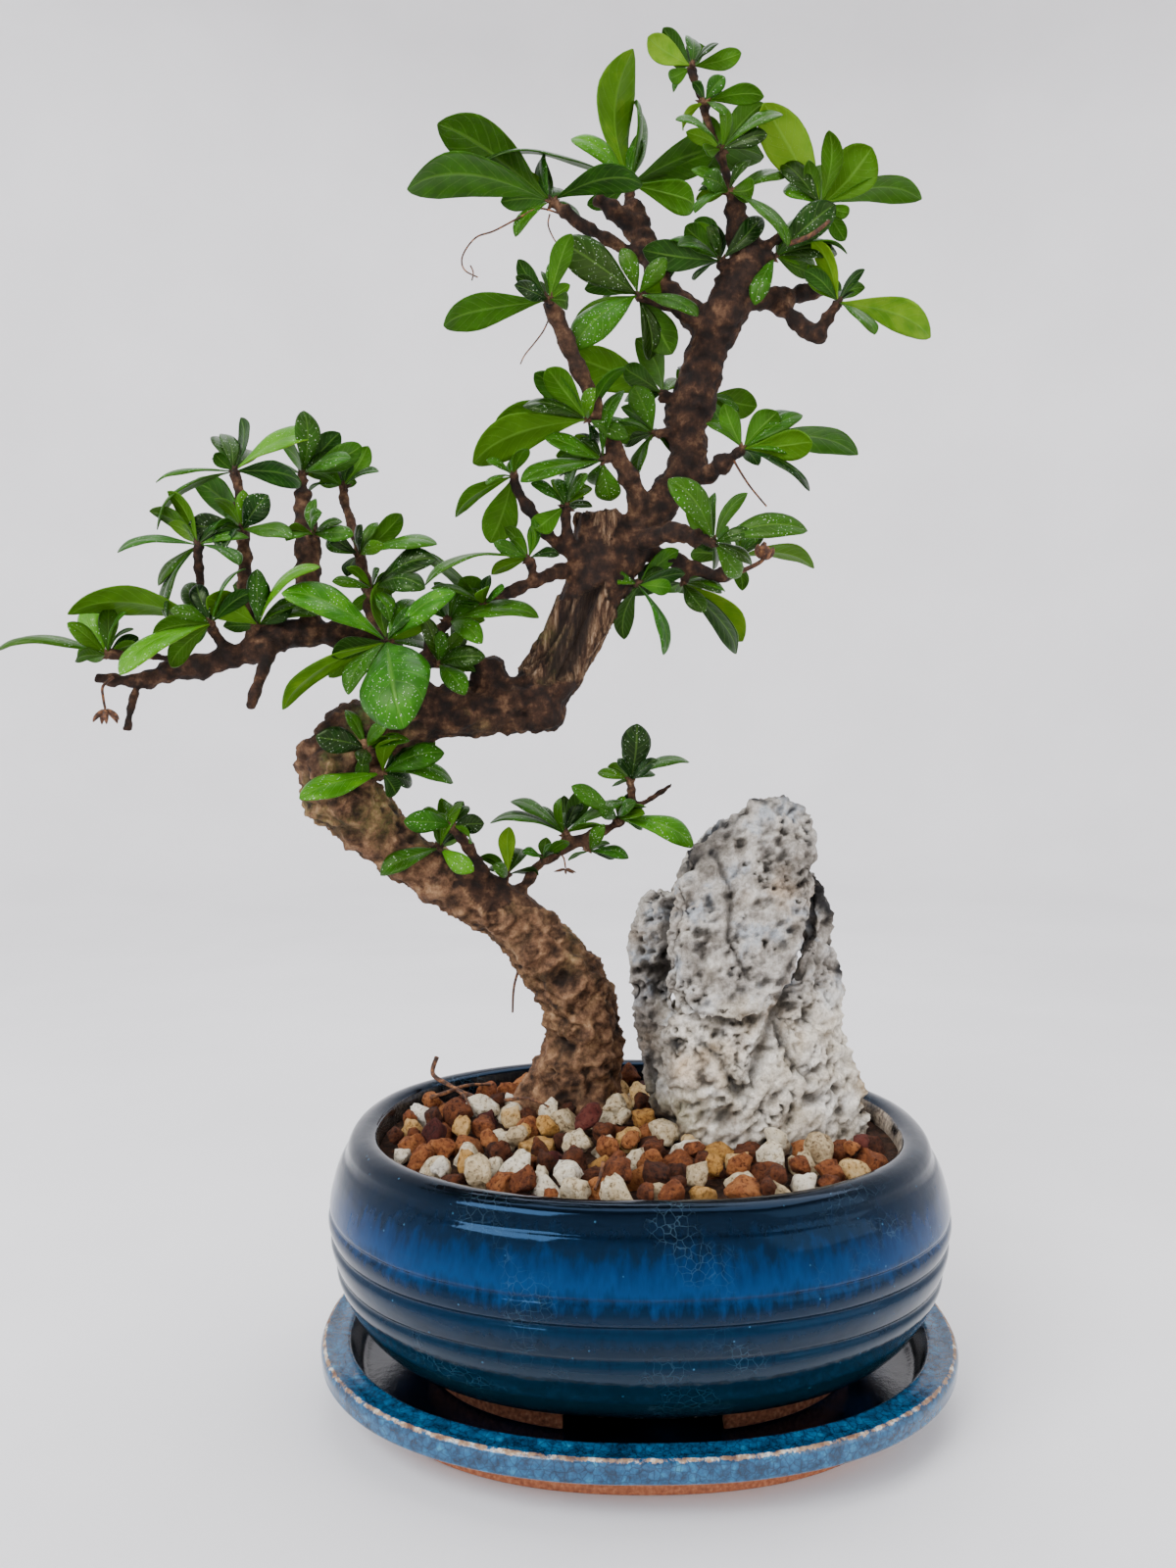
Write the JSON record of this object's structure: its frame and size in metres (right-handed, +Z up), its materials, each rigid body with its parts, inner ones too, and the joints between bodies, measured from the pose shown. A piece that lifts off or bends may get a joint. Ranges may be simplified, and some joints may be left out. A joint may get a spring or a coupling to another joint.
{
  "type": "bonsai tree in a pot",
  "caption": "Flowering bonsai with an S-bent trunk and tufts of spoon-shaped leaves, set in grit beside a pitted rock in a glazed oval pot on a saucer.",
  "frame": {"origin": "middle of the saucer's underside, where it stands on the table", "axes": "+Z up, +X to the right as seen from the front, +Y to the back"},
  "size_m": [0.3052, 0.16, 0.4513],
  "materials": {
    "pot_glaze": "gloss",
    "saucer_glaze": "gloss",
    "screen_plastic": "matte",
    "soil": "matte",
    "grit": "matte",
    "rock_stone": "matte",
    "bark": "matte",
    "leaf": "satin",
    "dried_flower": "matte"
  },
  "bodies": {
    "root": {"drain_screen_left": "screen_plastic", "drain_screen_right": "screen_plastic", "dried_flower_left": "dried_flower", "dried_flower_right": "dried_flower", "leaves_bend_crown": "leaf", "leaves_bend_face": "leaf", "leaves_bend_inner": "leaf", "leaves_bend_top": "leaf", "leaves_branch_back": "leaf", "leaves_branch_left": "leaf", "leaves_crook_side": "leaf", "leaves_crook_top": "leaf", "leaves_crown_centre": "leaf", "leaves_crown_left": "leaf", "leaves_crown_right": "leaf", "leaves_crown_spur": "leaf", "leaves_far_left": "leaf", "leaves_knob_left": "leaf", "leaves_leader_low": "leaf", "leaves_leader_mid": "leaf", "leaves_leader_top": "leaf", "leaves_left_crown": "leaf", "leaves_left_crown_twig": "leaf", "leaves_left_low": "leaf", "leaves_left_mid": "leaf", "leaves_low_right_far": "leaf", "leaves_low_right_knob": "leaf", "leaves_low_right_tip": "leaf", "leaves_lower_front": "leaf", "leaves_lower_top": "leaf", "leaves_mid_left_knob": "leaf", "leaves_mid_left_tip": "leaf", "leaves_mid_right_tip": "leaf", "leaves_pad_right": "leaf", "leaves_right_fork_tip": "leaf", "leaves_right_high": "leaf", "leaves_riser_low": "leaf", "leaves_riser_mid": "leaf", "leaves_riser_top": "leaf", "leaves_sprig_a": "leaf", "leaves_sprig_b": "leaf", "leaves_sprig_base": "leaf", "leaves_sprig_c": "leaf", "leaves_sprig_d": "leaf", "leaves_sprig_top": "leaf", "leaves_stem_a_mid": "leaf", "leaves_stem_a_top": "leaf", "leaves_stem_b_low": "leaf", "leaves_stem_b_mid": "leaf", "leaves_stem_b_top": "leaf", "leaves_stem_c_top": "leaf", "leaves_stub_mid": "leaf", "leaves_stub_top": "leaf", "leaves_trunk_right": "leaf", "pot": "pot_glaze", "rock": "rock_stone", "saucer": "saucer_glaze", "soil": "soil", "top_dressing": "grit", "tree": "bark"}
  },
  "joints": []
}
